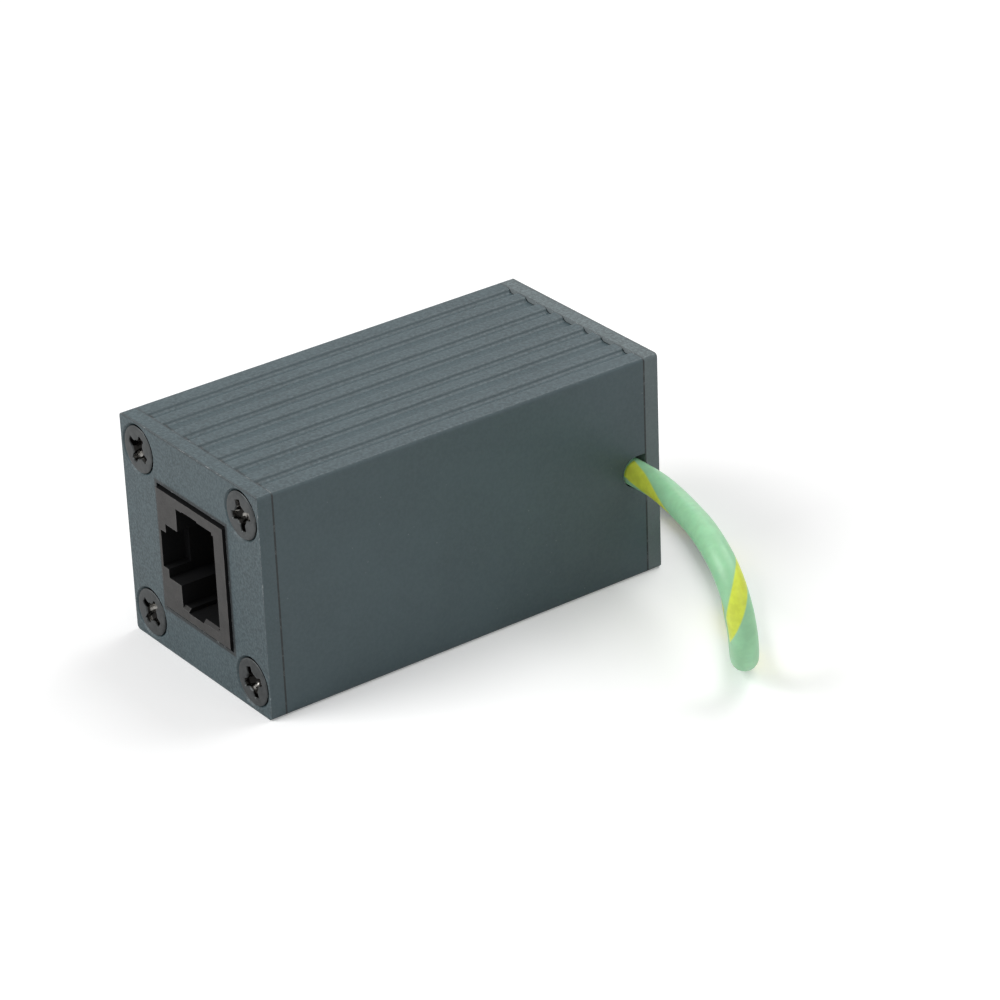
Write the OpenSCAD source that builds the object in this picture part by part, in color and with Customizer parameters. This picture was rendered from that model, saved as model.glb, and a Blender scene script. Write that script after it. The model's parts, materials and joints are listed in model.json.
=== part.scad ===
/* [Enclosure] */
// Gap between the board and the threads of the screws behind it
thread_room = 0.65; // [0.3:0.05:4]
// Gap between a socket and the screw ports above and below it
port_room = 0.05; // [0.05:0.05:4]
// Rounding of the long corner edges
corner_r = 0.5; // [0.3:0.1:1.2]
// Thickness of the plain side walls
side_wall = 1.6; // [1.2:0.1:1.8]
// Metal left under the grooves of the ribbed walls
rib_web = 1.6; // [1.2:0.1:1.8]

/* [Ribs] */
// Number of grooves along each ribbed wall
groove_count = 7; // [3:1:7]
// Plain band between the outermost grooves and the side walls
groove_margin = 2.46; // [2:0.01:3]
// Depth of a groove
groove_depth = 0.5; // [0.3:0.05:0.6]
// Width of the wide grooves at half their depth
groove_wide = 2.1; // [1.5:0.1:2.4]
// Width of the narrow grooves at half their depth
groove_narrow = 1.3; // [1.2:0.05:1.6]
// Rounding of the rib shoulders and of the groove floors
groove_round = 0.6; // [0.4:0.05:0.7]
// Steepest slope of a groove's walls, in degrees
groove_slope = 55; // [35:1:65]

/* [End plates] */
// Thickness of an end plate
plate_t = 2; // [1.8:0.1:3]
// Gap at each long edge of the socket in the plate's cut-out
cutout_gap_x = 0.2; // [0.1:0.05:0.4]
// Gap above and below the socket in the plate's cut-out
cutout_gap_z = 0.4; // [0.1:0.05:0.5]

/* [Screws] */
// Distance of the screw axes from the outer faces
screw_inset = 3.5; // [3.4:0.1:3.8]
// Outer diameter of the thread
screw_d = 2.9; // [2.4:0.1:2.9]
// Diameter of the countersunk head
head_d = 6; // [5:0.1:6.1]
// Height of the straight rim round the head
head_rim = 0.2; // [0.1:0.05:0.3]
// Length of a screw, head included
screw_l = 9; // [6:0.5:12]
// Clearance round the thread in the plate and in the tube's ports
screw_gap = 0.05; // [0.03:0.01:0.15]
// Outer diameter of the screw ports in the tube's corners
port_d = 5.2; // [4.6:0.1:5.4]
// Length of one bar of the cross recess
recess_l = 3.4; // [2.6:0.1:3.8]
// Width of one bar of the cross recess
recess_w = 0.7; // [0.5:0.05:0.8]
// Depth of the cross recess
recess_depth = 1.3; // [0.8:0.1:1.4]

/* [Socket] */
// Wall of the housing under the latch channel
latch_floor = 1.5; // [1.3:0.1:2]
// Walls of the housing above and below the plug cavity
jack_side = 1.6; // [1.4:0.1:2]
// Length of the housing behind the plug cavity
jack_back = 5.5; // [5:0.1:6.5]
// How far the socket stands proud of the end plate
jack_proud = 0.3; // [0:0.05:0.6]
// How far the socket sits below the middle of the plate
jack_drop = 0.25; // [0:0.05:0.4]
// Width of the plug cavity
plug_w = 12; // [11.8:0.1:12.4]
// Height of the plug cavity
plug_h = 7.3; // [7:0.1:7.4]
// Wall of the housing beside the contacts
contact_wall = 2.3; // [2.2:0.05:2.5]
// Depth of the plug cavity
plug_depth = 12.5; // [12:0.1:13]
// Width of the latch channel
latch_w = 6.9; // [6.2:0.1:7]
// Depth of the latch channel across the board
latch_h = 2.5; // [2:0.1:2.8]
// Width of the narrow slot for the latch tab
tab_w = 4.7; // [4:0.1:5]
// How far the tab slot runs in from the face
tab_depth = 3; // [2:0.1:4]
// Chamfer round the plug cavity
lead_in = 0.35; // [0.2:0.05:0.5]

/* [Contacts] */
// Pitch of the eight contact wires
contact_pitch = 1.02; // [1:0.01:1.05]
// Thickness of a contact wire
wire_t = 0.35; // [0.3:0.01:0.4]
// Clearance round a wire in its groove
wire_gap = 0.1; // [0.05:0.01:0.1]
// How far the tip of a spring hangs into the plug cavity
spring_drop = 2.6; // [2:0.1:2.7]
// Length of the springs along the socket
spring_l = 7; // [6:0.1:7.5]

/* [Board] */
// Thickness of the circuit board
board_t = 1.6; // [1.2:0.1:1.6]
// Gap between the board and its slots
board_gap = 0.1; // [0.05:0.05:0.2]
// Gap between the board's ends and the end plates
board_end_gap = 0.4; // [0.2:0.1:1]
// Height of the fins that hold the board's edges
fin_h = 1.1; // [0.8:0.1:1.3]
// Thickness of the fins that hold the board's edges
fin_t = 1; // [0.8:0.1:1.2]

/* [Protection parts] */
// Gap between the protection parts of one row
side_gap = 0.4; // [0.2:0.05:1]
// Gap between one row of parts and the next, and at the sockets
row_gap = 0.82; // [0.4:0.02:6]
// Gap between the ends of the rows and the fins
fin_gap = 0.5; // [0.2:0.05:2]
// Diameter of a gas discharge tube
tube_d = 4.8; // [4.5:0.1:4.9]
// Length of a gas discharge tube
tube_l = 7.6; // [6.5:0.1:7.8]
// Length of a surge diode's body
diode_l = 3.8; // [3.4:0.1:3.9]
// Width of a surge diode's body
diode_w = 3.6; // [3:0.1:3.8]
// Height of a surge diode's body
diode_h = 2.2; // [1.8:0.1:2.6]
// Diameter of the component leads
pin_d = 0.8; // [0.6:0.05:0.9]

/* [Earth lead] */
// Diameter over the insulation
lead_d = 3.2; // [2.8:0.1:3.2]
// Diameter of the stranded conductor
strand_d = 1.9; // [1.4:0.1:2]
// Height of the U-shaped notch that the lead leaves through
notch_w = 4; // [3.6:0.1:4.4]
// Length of the notch from the tube's rear end
notch_l = 3.3; // [3.3:0.1:4]

/* [Ring terminal] */
// Diameter of the hole for the earth screw
eye_d = 4.3; // [4.2:0.1:4.5]
// Outer diameter of the ring
ring_d = 8; // [7.6:0.1:8.4]
// Thickness of the ring's sheet metal
ring_t = 0.8; // [0.7:0.1:1]
// Length of the crimped barrel
barrel_l = 5; // [4.5:0.1:5.5]
// Length of the insulating sleeve
sleeve_l = 6.4; // [5.5:0.1:6.4]

/* [Hidden] */
$fn = 48;
// Overlap that keeps cuts clear of the faces they pass
cut = 1;

// The socket's own sizes
jack_h = contact_wall + plug_h + latch_h + latch_floor;
jack_w = plug_w + 2 * jack_side;
jack_l = plug_depth + jack_back;
jack_top = jack_h / 2;

// The rows of parts on the board
tab_t = 0.25;
foot_l = 0.8;
foot_inset = 0.7;
diode_span = diode_l + 4 * tab_t;
part_span = max(tube_d, diode_span);
part_pitch = part_span + side_gap;
row_l = 3 * part_pitch + part_span;
chip_size = [0.5, 1.2, 1.3];
chip_cap = 0.35;
chip_pitch = part_pitch / 2;
fillet_h = 1.2;
fillet_d = 3.6;
rows_w = tube_l + chip_size[1] + fillet_d + diode_w + 5 * row_gap;

// The outer sizes follow from what the tube holds
top_wall = rib_web + groove_depth;
case_w = jack_h + 2 * (board_t + thread_room + screw_d / 2 + screw_inset);
case_h = max(jack_w + 2 * (jack_drop + port_room + port_d / 2 + screw_inset),
             row_l + 2 * (fin_gap + fin_h + top_wall));
case_l = 2 * (jack_l - jack_proud) + rows_w;
groove_steps = 6;
groove_pitch = (case_w - 2 * groove_margin - groove_narrow) / (groove_count - 1);

tube_len = case_l - 2 * plate_t;
tube_end = tube_len / 2;
case_end = case_l / 2;
port_x = case_w / 2 - screw_inset;
port_z = case_h / 2 - screw_inset;
port_hole_d = screw_d + 2 * screw_gap;
head_cone = (head_d - screw_d) / 2;
// Gap between a screw's head and the cone that it sits in
head_gap = 0.02;
sink_d = head_d + 2 * head_rim + 2 * head_gap;

jack_cz = case_h / 2 - jack_drop;
jack_mouth = case_end + jack_proud;
cavity_top = jack_top - contact_wall;
cavity_low = cavity_top - plug_h;
latch_low = cavity_low - latch_h;
tab_rim = 0.4;
guide_w = 3.1;
guide_depth = 0.5;
guide_x = -0.05;

// The carrier sits in a slot over the cavity and in a pocket behind it
carrier_rise = 1.2;
carrier_edge = 0.2;
carrier_w = 8 * contact_pitch + 2 * carrier_edge;
carrier_front = 2.4;
carrier_gap = 0.05;
block_edge = 0.4;
block_w = plug_w - 2 * block_edge;
block_foot = 0.9;
block_low = block_foot - jack_top;
web_t = 0.2;
pocket_y = plug_depth + web_t;
wire_depth = 0.65;
wire_x = cavity_top + wire_depth;
pin_edge = 0.8;
pin_rows = 2.5;
wire_rows = [jack_l - pin_edge, jack_l - pin_edge - pin_rows];
fold_room = 0.4;
wire_fold_y = carrier_front + fold_room;
pin_out = 0.7;
peg_d = 3.2;
peg_gap = 0.05;
peg_y = 9;
peg_edge = 0.3;
peg_z = jack_w / 2 - peg_d / 2 - peg_edge;

board_face = -jack_top;
board_back = board_face - board_t;
board_len = tube_len - 2 * board_end_gap;
board_tall = case_h - 2 * top_wall - 2 * board_gap;

// Rows from the front socket to the rear one: tubes, chips, the earth lead's pad, diodes
bay_end = jack_mouth - jack_l;
tubes_y = -bay_end + row_gap + tube_l / 2;
chips_y = tubes_y + tube_l / 2 + row_gap + chip_size[1] / 2;
pad_y = chips_y + chip_size[1] / 2 + row_gap + fillet_d / 2;
diodes_y = bay_end - row_gap - diode_w / 2;
seat_gap = 0.1;
tube_x = board_face + tube_d / 2 + seat_gap;
cap_l = 1.1;
mid_l = 1.2;

lead_r = lead_d / 2;
lead_drop = 0.2;
lead_z = case_h / 2 - lead_drop;
lead_gap = 0.05;
lead_y = tube_end - lead_r - lead_gap;
wall_in = case_w / 2 - side_wall;
lead_side_gap = 0.2;
lead_inner_x = jack_top + lead_r + lead_side_gap;
bend_in_r = wall_in - lead_inner_x;
bend_mid_r = 5;
strip_x = -1;

// The hank: three runs side by side, the loops at both ends and the tie round its waist
run_gap = 0.1;
run_pitch = lead_d + run_gap;
hank_x = -28;
loop_r = 3 * lead_d;
loop_low = [hank_x, -1.5];
loop_high = [hank_x - 5, 36.5];
flank_y = loop_r / 4;
flank_x = sqrt(loop_r * loop_r - flank_y * flank_y);
waist_low_y = 10.4;
waist_high_y = 23;
run_in_y = 18;
run_out_y = 8;
tie_lift = 0.6;
tie_w = 3;
tie_y = 14.5;
tie_room = 1;
tie_head = [4, 3.8, 2.6];
tie_tail = [1, 2.4, 1.6];
run_z = tie_lift + lead_r;

// The terminal: its barrel at the height of the hank's middle run, its eye flat on the floor
barrel_d = strand_d + 2 * ring_t * 0.8;
sleeve_d = 2 * run_z;
strip_l = 2;
strand_out = 0.7;
tongue_back = 0.5;
tongue_l = 0.2;
barrel_end_y = run_out_y - strip_l - barrel_l;
eye_y = barrel_end_y - tongue_l - ring_d / 2;

// The free lead's route from the notch to the hank's first run, in mm
lead_points = [
  [case_w / 2, lead_y, lead_z], [16.2, lead_y, lead_z], [18.4, lead_y, lead_z],
  [23, 23, 14], [27.5, 21, 15],
  [32, 19, 16], [36.5, 17, 16.5], [41, 15.5, 15.5], [43.9, 15, 12], [44.2, 15.5, 7.5],
  [42.2, 17.2, 3.5], [38.5, 20, 1.6], [34, 23.5, 1.6], [30, 26, 1.6], [26, 29, 1.6],
  [21.5, 31.5, 1.6], [17, 33.5, 1.6], [12.5, 35.5, 1.6], [8, 37, 1.6], [3, 38, 1.6],
  [-2, 38.5, 1.6], [-7, 37.5, 1.6], [-11.5, 35.2, 1.6], [-15, 32.5, 1.6], [-18.2, 30, 1.8],
  [-21.2, 27.5, 2], [-23.5, 24.8, 2.2], [hank_x + run_pitch, 22, run_z],
  [hank_x + run_pitch, 20, run_z], [hank_x + run_pitch, run_in_y, run_z]
];
lead_sides = 8;

// Rounded rectangle, centred
module rounded_rect(w, h, r) {
  square([w - 2 * r, h], center = true);
  square([w, h - 2 * r], center = true);
  for (sx = [-1, 1], sy = [-1, 1])
    translate([sx * (w / 2 - r), sy * (h / 2 - r)]) circle(r);
}

// One groove seen end on: mouth on y = 0, floor below it, with rounded shoulders and sloping walls
module groove(mid_w) {
  slope = min(groove_slope, acos(1 - groove_depth / (2 * groove_round)));
  arc_h = groove_round * (1 - cos(slope));
  wall_w = 2 * groove_round * sin(slope) + (groove_depth - 2 * arc_h) / tan(slope);
  mouth_x = (mid_w + wall_w) / 2;
  floor_x = (mid_w - wall_w) / 2;
  arc = [for (k = [0:groove_steps]) slope * k / groove_steps];
  half = concat(
    [[mouth_x, cut]],
    [for (a = arc) [mouth_x - groove_round * sin(a), -groove_round * (1 - cos(a))]],
    [for (k = [groove_steps:-1:0])
      [floor_x + groove_round * sin(arc[k]), groove_round * (1 - cos(arc[k])) - groove_depth]]);
  polygon(concat(half, [for (k = [len(half) - 1:-1:0]) [-half[k][0], half[k][1]]]));
}

module groove_row() {
  for (i = [0:groove_count - 1]) {
    k = i - (groove_count - 1) / 2;
    translate([k * groove_pitch, case_h / 2]) groove(i % 2 == 0 ? groove_narrow : groove_wide);
  }
}

// Section of the extruded tube, centred on its axis
module tube_section() {
  slot_x = board_back - board_gap;
  slot_w = board_t + 2 * board_gap;
  difference() {
    rounded_rect(case_w, case_h, corner_r);
    difference() {
      square([case_w - 2 * side_wall, case_h - 2 * top_wall], center = true);
      for (sx = [-1, 1], sz = [-1, 1]) {
        translate([sx * port_x, sz * port_z]) circle(d = port_d);
        translate([sx * (port_x + port_d / 2), sz * (port_z + port_d / 2)])
          square([port_d, port_d], center = true);
      }
      for (sz = [-1, 1])
        translate([slot_x + slot_w + fin_t / 2, sz * (case_h / 2 - top_wall - fin_h / 2 + cut / 2)])
          square([fin_t, fin_h + cut], center = true);
    }
    for (sz = [-1, 1])
      translate([slot_x + slot_w / 2, sz * (case_h / 2 - top_wall - port_d / 2)])
        square([slot_w, port_d], center = true);
    for (sx = [-1, 1], sz = [-1, 1])
      translate([sx * port_x, sz * port_z]) circle(d = port_hole_d);
    groove_row();
    mirror([0, 1]) groove_row();
  }
}

module housing_tube() {
  color([0.29, 0.33, 0.34])
    difference() {
      translate([0, tube_end, case_h / 2]) rotate([90, 0, 0]) linear_extrude(tube_len) tube_section();
      translate([case_w / 2 - side_wall - cut, tube_end - notch_l + notch_w / 2, lead_z]) {
        rotate([0, 90, 0]) cylinder(d = notch_w, h = side_wall + 2 * cut);
        translate([0, 0, -notch_w / 2]) cube([side_wall + 2 * cut, notch_l, notch_w]);
      }
    }
}

// End plate with its outer face on y = 0 and its inner face on y = plate_t
module end_plate() {
  difference() {
    translate([0, plate_t, case_h / 2]) rotate([90, 0, 0]) linear_extrude(plate_t)
      difference() {
        rounded_rect(case_w, case_h, corner_r);
        translate([0, jack_cz - case_h / 2])
          square([jack_h + 2 * cutout_gap_x, jack_w + 2 * cutout_gap_z], center = true);
      }
    for (sx = [-1, 1], sz = [-1, 1])
      translate([sx * port_x, 0, case_h / 2 + sz * port_z]) rotate([-90, 0, 0]) {
        translate([0, 0, -cut]) cylinder(d = port_hole_d, h = plate_t + 2 * cut);
        cylinder(d1 = sink_d, d2 = screw_d, h = (sink_d - screw_d) / 2);
        translate([0, 0, -cut]) cylinder(d = sink_d, h = cut);
      }
  }
}

// Countersunk screw along +Z with the top of its head on z = 0
module screw() {
  difference() {
    union() {
      cylinder(d = head_d, h = head_rim);
      translate([0, 0, head_rim]) cylinder(d1 = head_d, d2 = screw_d, h = head_cone);
      cylinder(d = screw_d, h = screw_l - screw_d / 2);
      translate([0, 0, screw_l - screw_d / 2]) cylinder(d1 = screw_d, d2 = screw_d / 2, h = screw_d / 2);
    }
    intersection() {
      translate([0, 0, -cut]) cylinder(d1 = recess_l + cut, d2 = recess_w, h = recess_depth + cut);
      translate([0, 0, recess_depth / 2 - cut]) for (a = [0, 90])
        rotate([0, 0, a]) cube([recess_l, recess_w, recess_depth + 2 * cut], center = true);
    }
  }
}

module plate_screws(turns) {
  color([0.17, 0.17, 0.18])
    for (i = [0:3])
      translate([(i % 2 * 2 - 1) * port_x, 0, case_h / 2 + (floor(i / 2) * 2 - 1) * port_z])
        rotate([-90, 0, 0]) rotate([0, 0, turns[i]]) screw();
}

module at_front() {
  translate([0, -case_end, 0]) children();
}

module at_rear() {
  translate([0, case_end, 0]) mirror([0, 1, 0]) children();
}

// The sockets are one pattern: mouth on y = 0, depth along +Y, board on the -X side
module front_socket() {
  translate([0, -jack_mouth, jack_cz]) children();
}

module rear_socket() {
  translate([0, jack_mouth, jack_cz]) rotate([180, 0, 0]) children();
}

module box_x(x0, x1, y0, y1, w) {
  translate([x0, y0, -w / 2]) cube([x1 - x0, y1 - y0, w]);
}

// Chamfers round three sides of the plug cavity's mouth, the edge at v going outwards
module chamfer_edge(v) {
  polygon([[-cut, v - cut], [lead_in, v - cut], [lead_in, v], [-cut, v + lead_in + cut]]);
}

module mouth_chamfers() {
  for (s = [0, 1]) mirror([0, 0, s]) translate([cavity_low, 0, 0])
    rotate([90, 0, 90]) linear_extrude(plug_h) chamfer_edge(plug_w / 2);
  translate([0, 0, -plug_w / 2]) linear_extrude(plug_w) mirror([1, -1, 0]) chamfer_edge(cavity_top);
}

module socket_housing() {
  color([0.13, 0.13, 0.14]) {
    difference() {
      box_x(-jack_top, jack_top, 0, jack_l, jack_w);
      box_x(cavity_low, cavity_top, -cut, plug_depth, plug_w);
      mouth_chamfers();
      box_x(latch_low, cavity_low + cut, -cut, plug_depth, latch_w);
      box_x(tab_rim - jack_top, latch_low + cut, -cut, tab_depth, tab_w);
      translate([guide_x, 0, 0])
        box_x(-guide_w / 2, guide_w / 2, -cut, plug_depth, plug_w + 2 * guide_depth);
      box_x(cavity_top - cut, cavity_top + carrier_rise, carrier_front, jack_l + cut,
            carrier_w + 2 * carrier_gap);
      box_x(-jack_top - cut, cavity_top + carrier_rise, pocket_y, jack_l + cut,
            block_w + 2 * carrier_gap);
    }
    for (s = [-1, 1])
      translate([-jack_top + peg_d / 4, peg_y, s * peg_z]) rotate([0, -90, 0])
        cylinder(d = peg_d, h = board_t + pin_out + peg_d / 4);
  }
}

module contact_places() {
  for (i = [0:7])
    translate([0, 0, (i - 3.5) * contact_pitch]) {
      $row_y = wire_rows[i % 2];
      children();
    }
}

module contact_carrier() {
  groove_w = wire_t + 2 * wire_gap;
  color([0.2, 0.2, 0.21])
    difference() {
      union() {
        box_x(wire_x - wire_t / 2 - wire_gap, cavity_top + carrier_rise, carrier_front + carrier_gap,
              jack_l, carrier_w);
        box_x(block_low, cavity_top + carrier_rise, pocket_y + carrier_gap, jack_l, block_w);
      }
      contact_places() {
        box_x(wire_x - wire_t / 2 - wire_gap - cut, wire_x + wire_t / 2 + wire_gap, 0,
              $row_y + wire_t / 2 + wire_gap, groove_w);
        box_x(block_low - cut, wire_x + wire_t / 2 + wire_gap, $row_y - groove_w / 2,
              $row_y + groove_w / 2, groove_w);
      }
    }
}

module contact_wires() {
  spring = sqrt(pow(spring_drop + wire_x - cavity_top, 2) + pow(spring_l, 2));
  slope = atan2(spring_drop + wire_x - cavity_top, spring_l);
  color([0.83, 0.66, 0.27])
    contact_places() {
      box_x(board_back - pin_out, wire_x + wire_t / 2, $row_y - wire_t / 2, $row_y + wire_t / 2, wire_t);
      box_x(wire_x - wire_t / 2, wire_x + wire_t / 2, wire_fold_y, $row_y, wire_t);
      translate([wire_x, wire_fold_y, 0]) {
        cylinder(d = wire_t, h = wire_t, center = true);
        rotate([0, 0, slope]) box_x(-wire_t / 2, wire_t / 2, 0, spring, wire_t);
      }
    }
}

// Row of four places along the board for the protection parts
module part_place(i, y) {
  translate([board_face, y, case_h / 2 + (i - 1.5) * part_pitch]) children();
}

module gas_tube_ceramic(i) {
  ring_l = (tube_l - 2 * cap_l - mid_l) / 2;
  color([0.9, 0.88, 0.82])
    part_place(i, tubes_y) translate([tube_x - board_face, 0, 0]) for (s = [-1, 1])
      translate([0, s * (mid_l + ring_l) / 2, 0]) rotate([90, 0, 0])
        cylinder(d = tube_d - 0.3, h = ring_l, center = true);
}

module gas_tube_electrodes(i) {
  color([0.72, 0.72, 0.7])
    part_place(i, tubes_y) {
      translate([tube_x - board_face, 0, 0]) rotate([90, 0, 0]) {
        cylinder(d = tube_d, h = mid_l, center = true);
        for (s = [-1, 1]) translate([0, 0, s * (tube_l - cap_l) / 2])
          cylinder(d = tube_d, h = cap_l, center = true);
      }
      for (k = [-1, 0, 1])
        translate([-board_t - pin_out, k * (tube_l - cap_l) / 2, 0]) rotate([0, 90, 0])
          cylinder(d = pin_d, h = board_t + pin_out + seat_gap + tube_d / 4);
    }
}

module surge_diode(i) {
  foot_w = diode_w - 2 * foot_inset;
  foot_h = seat_gap + tab_t + diode_h / 2;
  part_place(i, diodes_y) {
    color([0.1, 0.1, 0.11])
      translate([seat_gap + tab_t + diode_h / 2, 0, 0]) cube([diode_h, diode_w, diode_l], center = true);
    color([0.75, 0.75, 0.74]) for (s = [-1, 1]) {
      translate([foot_h / 2, 0, s * (diode_l + tab_t) / 2])
        cube([foot_h, foot_w, tab_t], center = true);
      translate([tab_t / 2, 0, s * (diode_l - foot_l) / 2]) cube([tab_t, foot_w, foot_l], center = true);
      translate([tab_t / 2, 0, s * (diode_l + 2 * tab_t) / 2]) cube([tab_t, foot_w, 2 * tab_t], center = true);
    }
  }
}

module chip_places() {
  for (i = [0:7])
    translate([board_face, chips_y, case_h / 2 + (i - 3.5) * chip_pitch]) children();
}

module chip_resistors() {
  color([0.12, 0.12, 0.13])
    chip_places() translate([chip_size[0] / 2, 0, 0]) cube(chip_size, center = true);
}

module chip_resistor_caps() {
  color([0.75, 0.75, 0.74])
    chip_places() for (s = [-1, 1])
      translate([chip_size[0] / 2, 0, s * (chip_size[2] + chip_cap) / 2])
        cube([chip_size[0], chip_size[1], chip_cap], center = true);
}

module circuit_board() {
  hole_d = pin_d + 0.2;
  color([0.1, 0.36, 0.2])
    difference() {
      translate([board_back, -board_len / 2, case_h / 2 - board_tall / 2])
        cube([board_t, board_len, board_tall]);
      for (end = [0, 1]) socket_side(end) {
        contact_places() translate([0, $row_y, 0]) board_hole(hole_d);
        for (s = [-1, 1]) translate([0, peg_y, s * peg_z]) board_hole(peg_d + 2 * peg_gap);
      }
      for (i = [0:3], k = [-1, 0, 1])
        part_place(i, tubes_y + k * (tube_l - cap_l) / 2) translate([-board_face, 0, 0]) board_hole(hole_d);
      translate([0, pad_y, lead_z]) board_hole(strand_d + 0.2);
    }
}

module socket_side(end) {
  if (end == 0) front_socket() children();
  else rear_socket() children();
}

module board_hole(d) {
  translate([board_back - cut, 0, 0]) rotate([0, 90, 0]) cylinder(d = d, h = board_t + 2 * cut);
}

// Quarter bend of a round lead in the XY plane, centred on the bend's own axis
module quarter_bend(r, d, from) {
  rotate([0, 0, from]) rotate_extrude(angle = 90) translate([r, 0]) circle(d = d);
}

module inner_earth_lead() {
  mid_y = pad_y + bend_mid_r;
  color([0.36, 0.66, 0.4])
    translate([0, 0, lead_z]) {
      translate([wall_in, lead_y, 0]) rotate([0, 90, 0]) cylinder(d = lead_d, h = side_wall);
      translate([wall_in, lead_y - bend_in_r, 0]) quarter_bend(bend_in_r, lead_d, 90);
      translate([lead_inner_x, mid_y, 0]) rotate([-90, 0, 0])
        cylinder(d = lead_d, h = lead_y - bend_in_r - mid_y);
      translate([lead_inner_x - bend_mid_r, mid_y, 0]) quarter_bend(bend_mid_r, lead_d, 270);
      translate([strip_x, pad_y, 0]) rotate([0, 90, 0])
        cylinder(d = lead_d, h = lead_inner_x - bend_mid_r - strip_x);
    }
}

module inner_earth_strands() {
  color([0.75, 0.43, 0.25])
    translate([board_back - pin_out, pad_y, lead_z]) rotate([0, 90, 0])
      cylinder(d = strand_d, h = strip_x - board_back + pin_out);
}

module earth_solder_joints() {
  color([0.7, 0.71, 0.72])
    for (side = [[board_face, 90], [board_back, -90]])
      translate([side[0], pad_y, lead_z]) rotate([0, side[1], 0]) difference() {
        cylinder(d1 = fillet_d, d2 = strand_d + 0.4, h = min(fillet_h, pin_out));
        translate([0, 0, -cut]) cylinder(d = strand_d, h = fillet_h + 2 * cut);
      }
}

// Point at u from 0 to 1 on leg i of a cubic B-spline that starts and ends on its end points
function leg_point(p, i) =
  i < 0 ? 2 * p[0] - p[1] :
  i >= len(p) ? 2 * p[len(p) - 1] - p[len(p) - 2] : p[i];
function spline_at(p, i, u) =
  let (a = pow(1 - u, 3), b = 3 * pow(u, 3) - 6 * u * u + 4,
       c = -3 * pow(u, 3) + 3 * u * u + 3 * u + 1, d = pow(u, 3))
  (a * leg_point(p, i - 1) + b * leg_point(p, i) + c * leg_point(p, i + 1) + d * leg_point(p, i + 2)) / 6;
function spline_path(p, n) =
  [for (i = [0:len(p) - 2], k = [0:n - 1]) spline_at(p, i, k / n), p[len(p) - 1]];
function unit(v) = v / norm(v);
function tangent(q, i) = unit(q[min(i + 1, len(q) - 1)] - q[max(i - 1, 0)]);
function next_side(q, i, v) =
  let (t = tangent(q, i)) unit(v - (v * t) * t);
function sides_along(q, i, v) =
  i == len(q) ? [] : let (s = next_side(q, i, v)) concat([s], sides_along(q, i + 1, s));

// Plain tube swept along the points q
module swept_tube(q, r, n) {
  sides = sides_along(q, 0, [0, 0, 1]);
  rings = [for (i = [0:len(q) - 1])
    let (s = sides[i], b = cross(tangent(q, i), s))
    for (k = [0:n - 1]) q[i] + r * (cos((k + 0.5) * 360 / n) * s + sin((k + 0.5) * 360 / n) * b)];
  walls = [for (i = [0:len(q) - 2], k = [0:n - 1])
    let (a = i * n + k, b = i * n + (k + 1) % n)
    each [[a, b + n, b], [a, a + n, b + n]]];
  ends = [[for (k = [0:n - 1]) k], [for (k = [n - 1:-1:0]) (len(q) - 1) * n + k]];
  polyhedron(rings, concat(walls, ends));
}

module earth_lead() {
  color([0.36, 0.66, 0.4]) swept_tube(spline_path(lead_points, 2), lead_r, lead_sides);
}

// Outline of one end loop of the hank: the loop and its two flanks to the waist
module hank_loop(at, waist_y, left, right) {
  way = sign(waist_y - at[1]);
  translate(at) difference() {
    circle(loop_r + lead_r);
    circle(loop_r - lead_r);
    translate([0, way * (flank_y + loop_r)]) square([4 * loop_r, 2 * loop_r], center = true);
  }
  for (side = [[-1, left], [1, right]]) hull() {
    translate(at + [side[0] * flank_x, way * flank_y]) circle(lead_r, $fn = 24);
    translate([hank_x + side[1], waist_y]) circle(lead_r, $fn = 24);
  }
}

module earth_lead_hank() {
  waist_w = 3 * run_pitch;
  tall = lead_d + tie_lift;
  color([0.36, 0.66, 0.4]) {
    linear_extrude(lead_d) {
      hank_loop(loop_low, waist_low_y, -run_pitch, run_pitch);
      hank_loop(loop_high, waist_high_y, -run_pitch, 0);
    }
    difference() {
      translate([hank_x - waist_w / 2, waist_low_y, 0]) {
        cube([waist_w, run_in_y - waist_low_y, tall]);
        cube([2 * run_pitch, waist_high_y - waist_low_y, tall]);
      }
      translate([hank_x, tie_y, 0])
        cube([2 * waist_w, tie_w + 2 * tie_room, 2 * tie_lift], center = true);
    }
    translate([hank_x, run_out_y, run_z]) rotate([-90, 0, 0])
      cylinder(d = lead_d, h = waist_low_y - run_out_y + cut);
  }
}

module hank_tie() {
  inner_w = 3 * run_pitch;
  strap_top = 2 * tie_lift + lead_d;
  color([0.1, 0.1, 0.11])
    translate([hank_x, tie_y, 0]) {
      translate([0, tie_w / 2, run_z]) rotate([90, 0, 0]) linear_extrude(tie_w)
        difference() {
          square([inner_w + 2 * tie_lift, lead_d + 2 * tie_lift], center = true);
          square([inner_w, lead_d], center = true);
        }
      translate([0, 0, strap_top + tie_head[2] / 2]) cube(tie_head, center = true);
      translate([0, 0, strap_top + tie_head[2] + tie_tail[2] / 2]) cube(tie_tail, center = true);
    }
}

module ring_terminal() {
  color([0.78, 0.78, 0.76])
    translate([hank_x, 0, 0]) {
      translate([0, barrel_end_y, run_z]) rotate([-90, 0, 0]) difference() {
        cylinder(d = barrel_d, h = barrel_l);
        translate([0, 0, -cut]) cylinder(d = strand_d, h = barrel_l + 2 * cut);
      }
      difference() {
        linear_extrude(ring_t) {
          translate([0, eye_y]) circle(d = ring_d);
          translate([-barrel_d / 2, eye_y]) square([barrel_d, barrel_end_y + tongue_back - eye_y]);
        }
        translate([0, eye_y, -cut]) cylinder(d = eye_d, h = ring_t + 2 * cut);
      }
    }
}

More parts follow.
